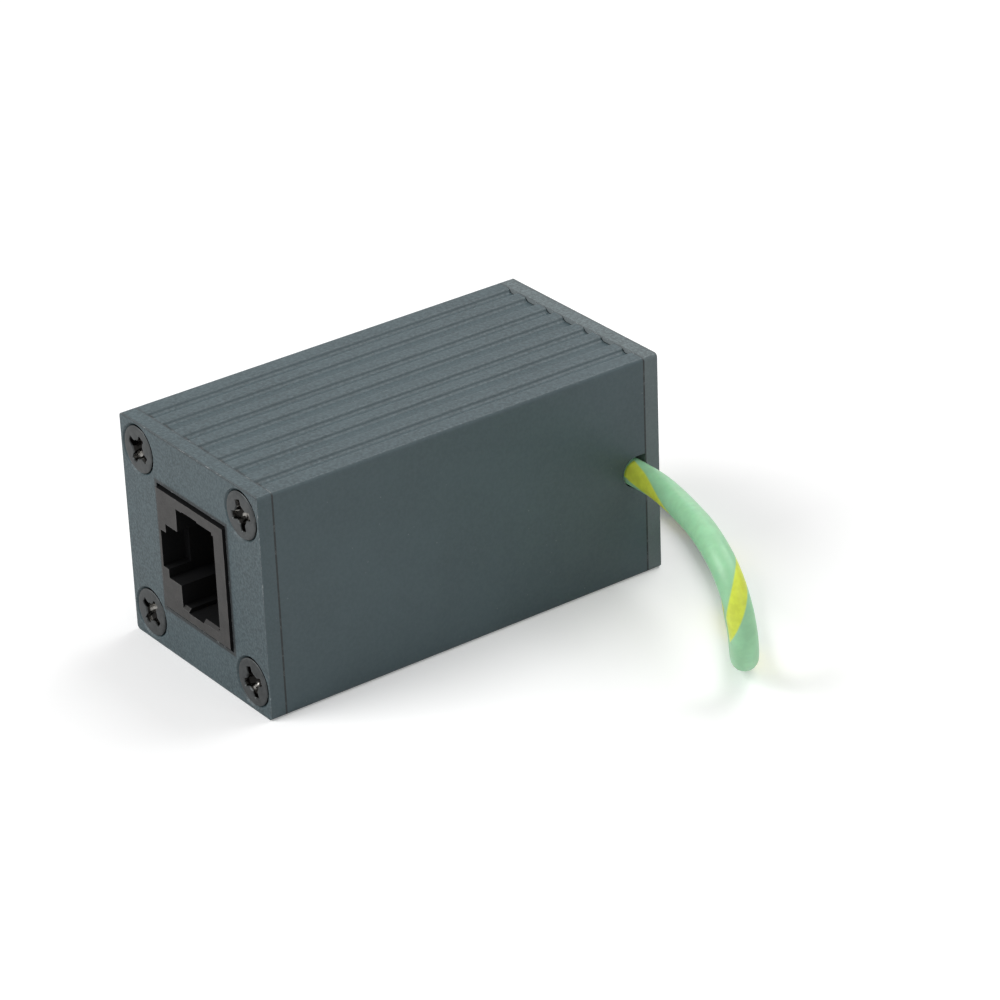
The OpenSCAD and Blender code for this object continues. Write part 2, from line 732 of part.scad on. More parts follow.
module terminal_sleeve() {
  color([0.12, 0.3, 0.62])
    translate([hank_x, run_out_y, run_z]) rotate([90, 0, 0]) difference() {
      cylinder(d = sleeve_d, h = sleeve_l);
      translate([0, 0, -cut]) cylinder(d = barrel_d, h = sleeve_l + 2 * cut);
    }
}

module terminal_strands() {
  color([0.75, 0.43, 0.25])
    translate([hank_x, run_out_y, run_z]) rotate([90, 0, 0])
      cylinder(d = strand_d, h = strip_l + barrel_l + strand_out);
}

housing_tube();
color([0.31, 0.35, 0.36]) at_front() end_plate();  // front_end_plate
color([0.31, 0.35, 0.36]) at_rear() end_plate();  // rear_end_plate
at_front() plate_screws([35, 68, 28, 74]);  // front_plate_screws
at_rear() plate_screws([12, 50, 81, 33]);  // rear_plate_screws
circuit_board();
front_socket() socket_housing();  // front_socket_housing
rear_socket() socket_housing();  // rear_socket_housing
front_socket() contact_carrier();  // front_contact_carrier
rear_socket() contact_carrier();  // rear_contact_carrier
front_socket() contact_wires();  // front_contact_wires
rear_socket() contact_wires();  // rear_contact_wires
gas_tube_ceramic(0);  // gas_tube_1_ceramic
gas_tube_ceramic(1);  // gas_tube_2_ceramic
gas_tube_ceramic(2);  // gas_tube_3_ceramic
gas_tube_ceramic(3);  // gas_tube_4_ceramic
gas_tube_electrodes(0);  // gas_tube_1_electrodes
gas_tube_electrodes(1);  // gas_tube_2_electrodes
gas_tube_electrodes(2);  // gas_tube_3_electrodes
gas_tube_electrodes(3);  // gas_tube_4_electrodes
surge_diode(0);  // surge_diode_1
surge_diode(1);  // surge_diode_2
surge_diode(2);  // surge_diode_3
surge_diode(3);  // surge_diode_4
chip_resistors();
chip_resistor_caps();
inner_earth_lead();
inner_earth_strands();
earth_solder_joints();
earth_lead();
earth_lead_hank();
hank_tie();
ring_terminal();
terminal_sleeve();
terminal_strands();
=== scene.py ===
import bpy, bmesh, json, math
from mathutils import Matrix, Vector


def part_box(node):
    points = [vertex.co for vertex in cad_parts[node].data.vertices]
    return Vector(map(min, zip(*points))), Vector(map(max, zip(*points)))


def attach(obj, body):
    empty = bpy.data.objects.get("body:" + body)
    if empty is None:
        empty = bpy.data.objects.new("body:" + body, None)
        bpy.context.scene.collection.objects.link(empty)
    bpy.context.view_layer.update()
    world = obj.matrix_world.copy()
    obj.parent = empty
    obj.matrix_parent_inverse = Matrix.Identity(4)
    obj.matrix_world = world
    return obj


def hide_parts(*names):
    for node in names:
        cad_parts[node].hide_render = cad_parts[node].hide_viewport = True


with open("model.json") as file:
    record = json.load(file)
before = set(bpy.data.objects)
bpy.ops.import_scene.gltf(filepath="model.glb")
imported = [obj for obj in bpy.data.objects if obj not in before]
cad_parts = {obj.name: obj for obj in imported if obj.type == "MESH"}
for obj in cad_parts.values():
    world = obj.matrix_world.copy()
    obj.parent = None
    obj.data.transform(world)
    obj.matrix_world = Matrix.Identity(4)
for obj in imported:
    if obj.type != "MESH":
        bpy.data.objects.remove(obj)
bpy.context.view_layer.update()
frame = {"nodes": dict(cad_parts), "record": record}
nodes = frame["nodes"]
scene = bpy.context.scene
MM = 0.001


# Sizes of the CAD model, in mm
def node_box(name):
    """Lowest and highest corner of a CAD node, in mm."""
    low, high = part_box(name)
    return [round(c / MM, 4) for c in low], [round(c / MM, 4) for c in high]


SEAM_Y = -node_box("housing_tube")[0][1]
FACE_Y = -node_box("front_end_plate")[0][1]
CASE_TOP = node_box("housing_tube")[1][2]
CASE_MID = CASE_TOP / 2
SCREW_OFF = 10.5

# Camera, solved on the edges of the box in the photograph
LENS, SENSOR = 146.218, 36.0
CAMERA_PLACE = Matrix((
    (0.597981, -0.351844, 0.720156, 0.346040),
    (0.800745, 0.301503, -0.517594, -0.233991),
    (-0.035017, 0.886173, 0.462030, 0.229827),
    (0, 0, 0, 1)))

camera = bpy.data.objects.new("camera", bpy.data.cameras.new("camera"))
scene.collection.objects.link(camera)
camera.data.sensor_width = SENSOR
camera.data.lens = LENS
camera.data.clip_start = 0.01
camera.matrix_world = CAMERA_PLACE
scene.camera = camera


# Meshes
def mesh_object(name, verts, faces, uvs=None):
    """A smooth mesh piece from points in mm."""
    me = bpy.data.meshes.new(name)
    me.from_pydata([tuple(c * MM for c in v) for v in verts], [], faces)
    if uvs:
        layer = me.uv_layers.new(name="along")
        for corner in me.loops:
            layer.data[corner.index].uv = uvs[corner.index]
    me.polygons.foreach_set("use_smooth", [True] * len(me.polygons))
    me.update()
    ob = bpy.data.objects.new(name, me)
    scene.collection.objects.link(ob)
    return ob


def tube_mesh(name, path, radius, lay, sides=20):
    """A round tube along path, and its length; u runs round it and v along it by lay."""
    path = [Vector(p) for p in path]
    run = [0.0]
    for a, b in zip(path, path[1:]):
        run.append(run[-1] + (b - a).length)
    side = None
    verts, rings = [], []
    for i, p in enumerate(path):
        t = (path[min(i + 1, len(path) - 1)] - path[max(i - 1, 0)]).normalized()
        if side is None:
            side = t.orthogonal().normalized()
        side = (side - t * side.dot(t)).normalized()
        other = t.cross(side)
        rings.append([len(verts) + k for k in range(sides)])
        for k in range(sides):
            a = 2 * math.pi * k / sides
            verts.append(p + radius * (math.cos(a) * side + math.sin(a) * other))
    faces, uvs = [], []
    v = [lay(s) for s in run]
    for i in range(len(path) - 1):
        for k in range(sides):
            n = (k + 1) % sides
            faces.append((rings[i][k], rings[i][n], rings[i + 1][n], rings[i + 1][k]))
            u0, u1 = k / sides, (k + 1) / sides
            uvs += [(u0, v[i]), (u1, v[i]), (u1, v[i + 1]), (u0, v[i + 1])]
    faces.append(tuple(reversed(rings[0])))
    uvs += [(0, v[0])] * sides
    faces.append(tuple(rings[-1]))
    uvs += [(0, v[-1])] * sides
    return mesh_object(name, verts, faces, uvs), run[-1]


def grid_faces(n_rings, n, first=0):
    """Quads between n_rings closed rings of n points each, which start at point first."""
    faces = []
    for i in range(n_rings - 1):
        for k in range(n):
            a, b = first + i * n + k, first + i * n + (k + 1) % n
            faces.append((a, b, b + n, a + n))
    return faces


def lathe(profile, sides, origin, axis="Y", shape=None):
    """Points and faces of a closed profile of (radius, height) turned round an axis."""
    verts = []
    for r, h in profile:
        for k in range(sides):
            a = 2 * math.pi * k / sides
            q = shape(r, h, a) if shape else r
            u, w = q * math.cos(a), q * math.sin(a)
            at = (u, h, w) if axis == "Y" else (u, w, h)
            verts.append(tuple(o + c for o, c in zip(origin, at)))
    last = (len(profile) - 1) * sides
    faces = grid_faces(len(profile), sides)
    for k in range(sides):
        n = (k + 1) % sides
        faces.append((last + k, last + n, n, k))
    return verts, faces


def shells(name, parts):
    """One piece from several closed shells of (points, faces)."""
    verts, faces = [], []
    for v, f in parts:
        faces += [tuple(i + len(verts) for i in face) for face in f]
        verts += v
    return mesh_object(name, verts, faces)


def outward(ob):
    """Turns the faces of every shell outwards."""
    bm = bmesh.new()
    bm.from_mesh(ob.data)
    bmesh.ops.recalc_face_normals(bm, faces=bm.faces)
    bm.to_mesh(ob.data)
    bm.free()


def block(centre, size, bevel, segments=2, turn=None):
    """A box with rounded edges as points and faces."""
    bm = bmesh.new()
    bmesh.ops.create_cube(bm, size=1.0)
    for v in bm.verts:
        v.co = Vector((v.co.x * size[0], v.co.y * size[1], v.co.z * size[2]))
    bmesh.ops.bevel(bm, geom=bm.edges[:], offset=bevel, segments=segments, profile=0.5, affect="EDGES")
    bm.verts.ensure_lookup_table()
    verts = [tuple(Vector(centre) + (turn @ v.co if turn else v.co)) for v in bm.verts]
    faces = [tuple(v.index for v in f.verts) for f in bm.faces]
    bm.free()
    return verts, faces


# The earth lead's route, in mm: out of the case, round behind it and into the hank
LEAD_D = 3.2
LEAD_R = LEAD_D / 2
RUN, HANK_X, RUN_Z = 3.3, -28.0, 2.2
RUN_NEAR_Y, RUN_MID_Y, RUN_FAR_Y, LEAD_TIP_Y = 11, 18, 22.5, 8
LOOP_R, LOOP_WAIST = 9.6, 2.4
NEAR_LOOP = (HANK_X, -1.5)
FAR_LOOP = (HANK_X - 5, 36.5)
LEGS_SOFTENED = 14
ROUTE = [
    (14, 24.1, 13.8), (16.2, 24.1, 13.8), (18.4, 24.1, 13.8), (23, 23, 14), (27.5, 21, 15),
    (32, 19, 16), (36.5, 17, 16.5), (41, 15.5, 15.5), (43.9, 15, 12), (44.2, 15.5, 7.5),
    (42.2, 17.2, 3.5), (38.5, 20, 1.6), (34, 23.5, 1.6), (30, 26, 1.6), (26, 29, 1.6),
    (21.5, 31.5, 1.6), (17, 33.5, 1.6), (12.5, 35.5, 1.6), (8, 37, 1.6), (3, 38, 1.6),
    (-2, 38.5, 1.6), (-7, 37.5, 1.6), (-11.5, 35.2, 1.6), (-15, 32.5, 1.6), (-18.2, 30, 1.8),
    (-21.2, 27.5, 2), (-23.5, 24.8, 2.2), (HANK_X + RUN, 22, RUN_Z),
    (HANK_X + RUN, 20, RUN_Z), (HANK_X + RUN, RUN_MID_Y, RUN_Z)]


def spline(points, n):
    """Cubic B-spline through its end points, n points a leg."""
    p = [Vector(q) for q in points]
    p = [2 * p[0] - p[1]] + p + [2 * p[-1] - p[-2]]
    out = []
    for i in range(1, len(p) - 2):
        for k in range(n):
            u = k / n
            out.append(((1 - u) ** 3 * p[i - 1] + (3 * u ** 3 - 6 * u * u + 4) * p[i]
                        + (-3 * u ** 3 + 3 * u * u + 3 * u + 1) * p[i + 1] + u ** 3 * p[i + 2]) / 6)
    out.append(Vector(points[-1]))
    return out


def legs(points, step=0.8):
    """Points about a step apart along straight legs."""
    out = []
    for a, b in zip(points, points[1:]):
        a, b = Vector(a), Vector(b)
        n = max(1, round((b - a).length / step))
        out += [a.lerp(b, k / n) for k in range(n)]
    return out + [Vector(points[-1])]


def soften(path, times):
    """Averages each point with its neighbours, so that legs run into loops without a kink."""
    path = list(path)
    for _ in range(times):
        middle = [(path[i - 1] + 2 * path[i] + path[i + 1]) / 4 for i in range(1, len(path) - 1)]
        path = [path[0]] + middle + [path[-1]]
    return path


def loop(centre, start, end):
    """An arc of the hank on the floor, between two angles."""
    n = 48
    angles = [math.radians(start + (end - start) * k / n) for k in range(n + 1)]
    return [(centre[0] + LOOP_R * math.cos(a), centre[1] + LOOP_R * math.sin(a), LEAD_R) for a in angles]


tilt = math.degrees(math.asin(LOOP_WAIST / LOOP_R))
hank = [(HANK_X + RUN, RUN_MID_Y, RUN_Z), (HANK_X + RUN, RUN_NEAR_Y, RUN_Z)]
hank += loop(NEAR_LOOP, tilt, -180 - tilt)
hank += [(HANK_X - RUN, RUN_NEAR_Y, RUN_Z), (HANK_X - RUN, RUN_FAR_Y, RUN_Z)]
hank += loop(FAR_LOOP, 180 + tilt, -tilt)
hank += [(HANK_X, RUN_FAR_Y, RUN_Z), (HANK_X, LEAD_TIP_Y, RUN_Z)]
lead_path = spline(ROUTE, 6)[:-1] + soften(legs(hank), LEGS_SOFTENED)

# Turns of the stripe for each mm of lead, at these distances along it, as the lead is twisted unevenly
TWIST = [
    (0, 0.028), (11, 0.028), (14, 0.009), (25, 0.009),
    (28, 0.074), (38, 0.074), (43, 0.038), (1000, 0.038)]


def stripe_lay(s):
    """Turns of the stripe from the lead's start to s mm along it."""
    turns = 0.0
    for (s0, r0), (s1, r1) in zip(TWIST, TWIST[1:]):
        end = min(s, s1)
        if end > s0:
            turns += (end - s0) * (r0 + (r0 + (r1 - r0) * (end - s0) / (s1 - s0))) / 2
    return turns


lead, lead_length = tube_mesh("earth_lead_cord", lead_path, LEAD_R, stripe_lay)


# Materials
class Mat:
    """A node material with its principled shader, in object coordinates of mm."""

    def __init__(self, name):
        self.mat = bpy.data.materials.new(name)
        self.mat.use_nodes = True
        self.tree = self.mat.node_tree
        self.tree.nodes.clear()
        self.out = self.node("ShaderNodeOutputMaterial")
        self.shader = self.node("ShaderNodeBsdfPrincipled")
        self.link(self.shader.outputs[0], self.out.inputs["Surface"])
        coord = self.node("ShaderNodeTexCoord")
        self.normal = coord.outputs["Normal"]
        self.place = self.vector("MULTIPLY", coord.outputs["Object"], (1 / MM, 1 / MM, 1 / MM))

    def node(self, kind, **settings):
        n = self.tree.nodes.new(kind)
        for k, v in settings.items():
            setattr(n, k, v)
        return n

    def link(self, a, b):
        self.tree.links.new(a, b)

    def feed(self, socket, value):
        """Links a socket's value or sets a constant."""
        if isinstance(value, bpy.types.NodeSocket):
            self.link(value, socket)
        elif isinstance(value, (tuple, list)) and socket.type == "RGBA" and len(value) == 3:
            socket.default_value = (*value, 1)
        else:
            socket.default_value = value

    def set(self, **values):
        for k, v in values.items():
            self.feed(self.shader.inputs[k.replace("_", " ")], v)

    def vector(self, op, a, b):
        n = self.node("ShaderNodeVectorMath", operation=op)
        self.feed(n.inputs[0], a)
        self.feed(n.inputs[1], b)
        return n.outputs["Value"] if op in ("DOT_PRODUCT", "LENGTH") else n.outputs["Vector"]

    def math(self, op, a, b=0.0):
        n = self.node("ShaderNodeMath", operation=op)
        self.feed(n.inputs[0], a)
        self.feed(n.inputs[1], b)
        return n.outputs[0]

    def times(self, a, b):
        return self.math("MULTIPLY", a, b)

    def size(self, a):
        return self.math("ABSOLUTE", a)

    def inverse(self, a, share=1.0):
        """1 less that share of a."""
        return self.math("SUBTRACT", 1.0, a if share == 1.0 else self.times(a, share))

    def ramp(self, value, lo, hi, to_lo=0.0, to_hi=1.0):
        """to_lo where the value is lo, to_hi where it is hi, and smooth between them."""
        n = self.node("ShaderNodeMapRange", interpolation_type="SMOOTHSTEP")
        self.feed(n.inputs["Value"], value)
        n.inputs["From Min"].default_value = lo
        n.inputs["From Max"].default_value = hi
        n.inputs["To Min"].default_value = to_lo
        n.inputs["To Max"].default_value = to_hi
        return n.outputs[0]

    def noise(self, scale, detail=4.0, rough=0.55):
        n = self.node("ShaderNodeTexNoise")
        self.feed(n.inputs["Vector"], self.place)
        n.inputs["Scale"].default_value = scale
        n.inputs["Detail"].default_value = detail
        n.inputs["Roughness"].default_value = rough
        return n.outputs["Fac"]

    def cells(self, scale):
        """Distance to the nearest of scattered points."""
        n = self.node("ShaderNodeTexVoronoi", feature="F1")
        self.feed(n.inputs["Vector"], self.place)
        n.inputs["Scale"].default_value = scale
        return n.outputs["Distance"]

    def mix(self, fac, a, b):
        n = self.node("ShaderNodeMix", data_type="RGBA")
        self.feed(n.inputs[0], fac)
        self.feed(n.inputs[6], a)
        self.feed(n.inputs[7], b)
        return n.outputs[2]

    def facing(self, name):
        """How squarely the surface faces along an axis, from 0 to 1."""
        n = self.node("ShaderNodeSeparateXYZ")
        self.link(self.normal, n.inputs[0])
        return self.size(n.outputs[name])

    def axis(self, name):
        """A coordinate of the surface's point, in mm."""
        n = self.node("ShaderNodeSeparateXYZ")
        self.link(self.place, n.inputs[0])
        return n.outputs[name]

    def edges(self, radius):
        """1 on the part's outer and inner edges, 0 on its flats."""
        bevel = self.node("ShaderNodeBevel", samples=4)
        bevel.inputs["Radius"].default_value = radius * MM
        geo = self.node("ShaderNodeNewGeometry")
        same = self.vector("DOT_PRODUCT", bevel.outputs[0], geo.outputs["Normal"])
        return self.ramp(self.inverse(same), 0.02, 0.25)

    def bump(self, layers):
        """Stacked bumps: (height, strength, distance in mm)."""
        last = None
        for height, strength, dist in layers:
            n = self.node("ShaderNodeBump")
            n.inputs["Strength"].default_value = strength
            n.inputs["Distance"].default_value = dist * MM
            self.feed(n.inputs["Height"], height)
            if last is not None:
                self.link(last, n.inputs["Normal"])
            last = n.outputs[0]
        self.link(last, self.shader.inputs["Normal"])


def shade(colour, k):
    return tuple(min(1.0, c * k) for c in colour)


# Paint of the case, and the painted shade and light on it
PAINT = (0.042, 0.067, 0.076)
# A paler copy of PAINT for the rear plate: painted light
REAR_PAINT_LIT = (0.088, 0.114, 0.120)
PALE_SPECK = (0.24, 0.27, 0.29)
WORN_EDGE = (0.15, 0.17, 0.18)
BARE_NICK = (0.42, 0.45, 0.46)
TOP_EDGE_DARK = (0.012, 0.017, 0.019)
# Painted shadow round the socket's cut-out
CUTOUT_SHADOW = (0.004, 0.005, 0.006)
# Dark joint, and painted shadow at the groove ends
JOINT_AND_SHADOW_DARK = (0.003, 0.005, 0.006)
# Painted light on the plates' inner faces
INNER_FACE_LIGHT = (0.230, 0.260, 0.268)
SOCKET_TALL = 13.6


def seam(m, half=0.16):
    """1 on the joint between the tube and an end plate."""
    off = m.size(m.math("SUBTRACT", m.size(m.axis("Y")), SEAM_Y))
    return m.ramp(off, half, half * 0.5)


def rim_of_cutout(m):
    """1 just outside the socket's cut-out, for the painted shadow of the gap round the socket."""
    low, high = node_box("front_socket_housing")
    mid_x = high[0] - SOCKET_TALL / 2
    mid_z = (high[2] + low[2]) / 2
    half_z = (high[2] - low[2]) / 2
    dx = m.math("SUBTRACT", m.size(m.math("SUBTRACT", m.axis("X"), mid_x)), SOCKET_TALL / 2 + 0.2)
    dz = m.math("SUBTRACT", m.size(m.math("SUBTRACT", m.axis("Z"), mid_z)), half_z + 0.4)
    return m.ramp(m.math("MAXIMUM", dx, dz), 0.56, 0.30)


def plate_marks(m, tone, joint, high):
    """An end plate's colour with a dark line along its top front edge, painted shadow round the cut-out,
    painted light on its inner face, and its dark joint.
    """
    # A dark line along the plate's top front edge
    brow = m.times(m.ramp(m.size(m.axis("Y")), FACE_Y - 0.25, FACE_Y - 0.13), high)
    tone = m.mix(m.times(brow, 0.55), tone, TOP_EDGE_DARK)
    # Painted shadow of the gap round the socket
    tone = m.mix(m.times(rim_of_cutout(m), 0.85), tone, CUTOUT_SHADOW)
    # Painted light on the plate's inner face, where it shows above the groove floors
    inner = m.times(seam(m, 0.12), m.ramp(m.facing("Y"), 0.85, 0.95))
    tone = m.mix(m.times(inner, 0.9), tone, INNER_FACE_LIGHT)
    return tone, m.times(joint, m.ramp(m.facing("Y"), 0.95, 0.85))


def groove_end_shadow(m, calm):
    """1 in the grooves just behind the front plate, for their painted shadow."""
    from_mid = m.size(m.math("SUBTRACT", m.axis("Z"), CASE_MID))
    valley = m.inverse(m.ramp(from_mid, CASE_MID - 0.28, CASE_MID - 0.08))
    valley = m.times(m.times(valley, m.inverse(calm)), m.ramp(from_mid, CASE_MID - 0.8, CASE_MID - 0.7))
    at_front = m.ramp(m.axis("Y"), 0.5, -0.5)
    return m.times(m.times(seam(m, 0.90), at_front), valley)


def painted(name, paint, grain_scale, grain_depth, worn_at, plate):
    """Grey enamel over metal: fine pebble, faint clouds, rubbed edges and a dark joint, with painted shadow
    at the groove ends on the tube and painted shade and light on the plates.
    """
    m = Mat(name)
    pebble = m.noise(grain_scale, 3, 0.6)
    spread = 0.32 if plate else 0.23
    tone = m.mix(m.ramp(pebble, 0.35, 0.68), shade(paint, 1 - spread), shade(paint, 1 + spread))
    calm = m.ramp(m.facing("X"), 0.5, 0.9)
    tone = m.mix(m.times(calm, 0.78), tone, paint)
    cloud = m.ramp(m.noise(0.12, 3), 0.3, 0.75)
    tone = m.mix(m.times(cloud, 0.38), tone, shade(paint, 1.28))
    speck = m.times(m.ramp(m.cells(0.9), 0.09, 0.04), m.ramp(m.noise(0.25, 2), 0.52, 0.62))
    tone = m.mix(m.times(speck, 0.36), tone, PALE_SPECK)
    edge = m.edges(0.22)
    tone = m.mix(m.times(edge, 0.20), tone, WORN_EDGE)
    high = m.ramp(m.axis("Z"), CASE_TOP - 0.30, CASE_TOP - 0.15)
    joint = m.times(seam(m), m.inverse(high, 0.45))
    if plate:
        tone, dark = plate_marks(m, tone, joint, high)
    else:
        dark = m.math("MAXIMUM", joint, groove_end_shadow(m, calm))
    # The dark joint, and on the tube the painted shadow at the groove ends
    tone = m.mix(m.times(dark, 0.94), tone, JOINT_AND_SHADOW_DARK)
    nick = m.times(edge, m.ramp(m.noise(1.1, 4, 0.7), worn_at, worn_at + 0.10))
    nick = m.times(nick, m.inverse(dark, 0.7))
    tone = m.mix(m.times(nick, 0.75), tone, BARE_NICK)
    m.set(Base_Color=tone, Roughness=m.ramp(pebble, 0.3, 0.7, 0.54, 0.44))
    pit = m.times(pebble, m.inverse(calm, 0.75))
    m.bump([(pit, 0.6, grain_depth), (m.noise(9.0, 2), 0.25, 0.02)])
    return m.mat


def socket_material():
    """Matt black moulding, grey where light falls on its face, with painted shade that makes it near black
    inside and painted highlights along its face's edges.
    """
    m = Mat("socket_plastic")
    pebble = m.noise(6.0, 3, 0.6)
    behind_face = m.ramp(m.size(m.axis("Y")), FACE_Y + 0.10, FACE_Y - 0.35)
    inside = m.math("MAXIMUM", behind_face, m.ramp(m.facing("Y"), 0.8, 0.5))
    face = m.mix(m.ramp(m.noise(0.5, 3), 0.3, 0.7), (0.048, 0.047, 0.046), (0.060, 0.058, 0.057))
    # Painted shade: near black behind the face and on the inner walls
    tone = m.mix(inside, face, (0.0020, 0.0022, 0.0026))
    # Painted highlights: pale patches along the face's edges
    pale_edge = m.times(m.edges(0.16), m.ramp(m.noise(0.9, 3), 0.40, 0.60))
    tone = m.mix(m.times(pale_edge, m.ramp(inside, 1.0, 0.0, 0.0, 0.55)), tone, (0.30, 0.30, 0.30))
    rough = m.math("ADD", m.ramp(pebble, 0.3, 0.7, 0.46, 0.56), m.times(inside, 0.3))
    m.set(Base_Color=tone, Roughness=rough, Specular_IOR_Level=0.16)
    m.bump([(pebble, 0.4, 0.03), (m.noise(0.6, 2), 0.15, 0.08)])
    return m.mat


def black_steel():
    """Blackened steel: satin head; inside the recess glossy, with painted shade that makes it near black and
    painted glints.
    """
    m = Mat("screw_finish")
    swirl = m.noise(1.2, 3, 0.6)
    # Painted shade: the recess near black and glossy
    deep = m.ramp(m.size(m.axis("Y")), FACE_Y - 0.05, FACE_Y - 0.17)
    tone = m.mix(m.ramp(swirl, 0.3, 0.7), (0.050, 0.054, 0.055), (0.082, 0.087, 0.088))
    pale_edge = m.times(m.edges(0.10), m.ramp(m.noise(2.0, 3), 0.4, 0.62, 0, 0.5))
    tone = m.mix(pale_edge, tone, (0.20, 0.20, 0.20))
    # Painted glints: pale patches of reflectance in the recess
    glint = m.ramp(m.noise(0.8, 1, 0.4), 0.55, 0.64)
    tone = m.mix(deep, tone, m.mix(glint, (0.012, 0.011, 0.010), (0.34, 0.33, 0.31)))
    rough = m.math("SUBTRACT", m.ramp(swirl, 0.3, 0.7, 0.40, 0.50), m.times(deep, 0.26))
    m.set(Base_Color=tone, Roughness=rough, Metallic=0.85)
    m.bump([(m.noise(6.0, 2), 0.3, 0.03), (m.noise(1.5, 2), 0.2, 0.05)])
    return m.mat


def plastic(name, base, rough=(0.42, 0.55), grain=5.0, depth=0.03, spec=0.5):
    """Moulded or cast material of one colour, a little paler along its edges."""
    m = Mat(name)
    pebble = m.noise(grain, 3, 0.6)
    tone = m.mix(m.ramp(m.noise(0.3, 3), 0.3, 0.7), shade(base, 0.85), shade(base, 1.15))
    tone = m.mix(m.times(m.edges(0.15), 0.35), tone, shade(base, 2.2))
    m.set(Base_Color=tone, Roughness=m.ramp(pebble, 0.3, 0.7, *rough), Specular_IOR_Level=spec)
    m.bump([(pebble, 0.35, depth), (m.noise(0.6, 2), 0.15, 0.08)])
    return m.mat


def metal(name, base, rough=(0.22, 0.38), grain=2.0, tarnish=None, relief=0.2):
    """Bare or plated metal, with patches of tarnish where it has a colour for it."""
    m = Mat(name)
    flow = m.noise(grain, 4, 0.6)
    tone = m.mix(m.ramp(flow, 0.3, 0.7), shade(base, 0.82), shade(base, 1.08))
    if tarnish:
        tone = m.mix(m.ramp(m.noise(0.5, 4, 0.65), 0.52, 0.75, 0, 0.6), tone, tarnish)
    m.set(Base_Color=tone, Roughness=m.ramp(flow, 0.3, 0.7, *rough), Metallic=1.0)
    m.bump([(flow, relief, 0.03)])
    return m.mat


LEAD_GREEN, LEAD_YELLOW = (0.310, 0.620, 0.360), (0.660, 0.760, 0.070)
STRIPE_START, STRIPE_HALF, STRIPE_BLUR = 0.25, 0.12, 0.012


def lead_material(name, striped):
    """Green insulation, with a yellow stripe wound along it by the layer "along"."""
    m = Mat(name)
    tone = m.mix(m.ramp(m.noise(0.7, 3), 0.3, 0.7), shade(LEAD_GREEN, 0.95), shade(LEAD_GREEN, 1.05))
    if striped:
        uv = m.node("ShaderNodeUVMap", uv_map="along")
        around = m.node("ShaderNodeSeparateXYZ")
        m.link(uv.outputs[0], around.inputs[0])
        turn = m.math("SUBTRACT", around.outputs["X"], around.outputs["Y"])
        turn = m.math("FRACT", m.math("ADD", turn, STRIPE_START))
        off = m.size(m.math("SUBTRACT", turn, 0.5))
        band = m.ramp(off, STRIPE_HALF + STRIPE_BLUR, STRIPE_HALF - STRIPE_BLUR)
        mottle = m.ramp(m.noise(0.8, 3), 0.3, 0.7)
        tone = m.mix(band, tone, m.mix(mottle, shade(LEAD_YELLOW, 0.92), shade(LEAD_YELLOW, 1.08)))
    m.set(Base_Color=tone, Roughness=m.ramp(m.noise(3.0, 3), 0.3, 0.7, 0.34, 0.46),
          Subsurface_Weight=0.12, Subsurface_Scale=0.0006)
    m.bump([(m.noise(1.4, 3), 0.08, 0.08), (m.noise(8.0, 2), 0.15, 0.02)])
    return m.mat


def board_material():
    """Green solder mask over a woven board, with faint raised tracks."""
    m = Mat("board_mask")
    base = (0.012, 0.115, 0.045)
    weave = m.cells(1.6)
    tone = m.mix(m.ramp(weave, 0.1, 0.6), shade(base, 0.8), shade(base, 1.25))
    track = m.ramp(m.math("PINGPONG", m.axis("Z"), 0.9), 0.30, 0.42)
    track = m.times(track, m.ramp(m.noise(0.18, 1), 0.42, 0.50))
    tone = m.mix(m.times(track, 0.6), tone, shade(base, 2.0))
    m.set(Base_Color=tone, Roughness=m.ramp(weave, 0.1, 0.6, 0.26, 0.36), Coat_Weight=0.3)
    m.bump([(track, 0.5, 0.03), (weave, 0.15, 0.02)])
    return m.mat


def strands_material():
    """Copper that also looks stranded on the CAD model's plain rods, by darker diagonal bands of painted
    shade between strands.
    """
    m = Mat("copper_strands")
    base = (0.66, 0.30, 0.16)
    wave = m.node("ShaderNodeTexWave", bands_direction="DIAGONAL")
    m.link(m.place, wave.inputs["Vector"])
    wave.inputs["Scale"].default_value = 1.2
    wave.inputs["Distortion"].default_value = 0.4
    groove = wave.outputs["Fac"]
    # Painted shade in the gaps between strands
    tone = m.mix(m.ramp(groove, 0.1, 0.7), shade(base, 0.45), base)
    m.set(Base_Color=tone, Roughness=m.ramp(m.noise(4.0), 0.3, 0.7, 0.25, 0.4), Metallic=1.0)
    m.bump([(groove, 0.8, 0.12)])
    return m.mat


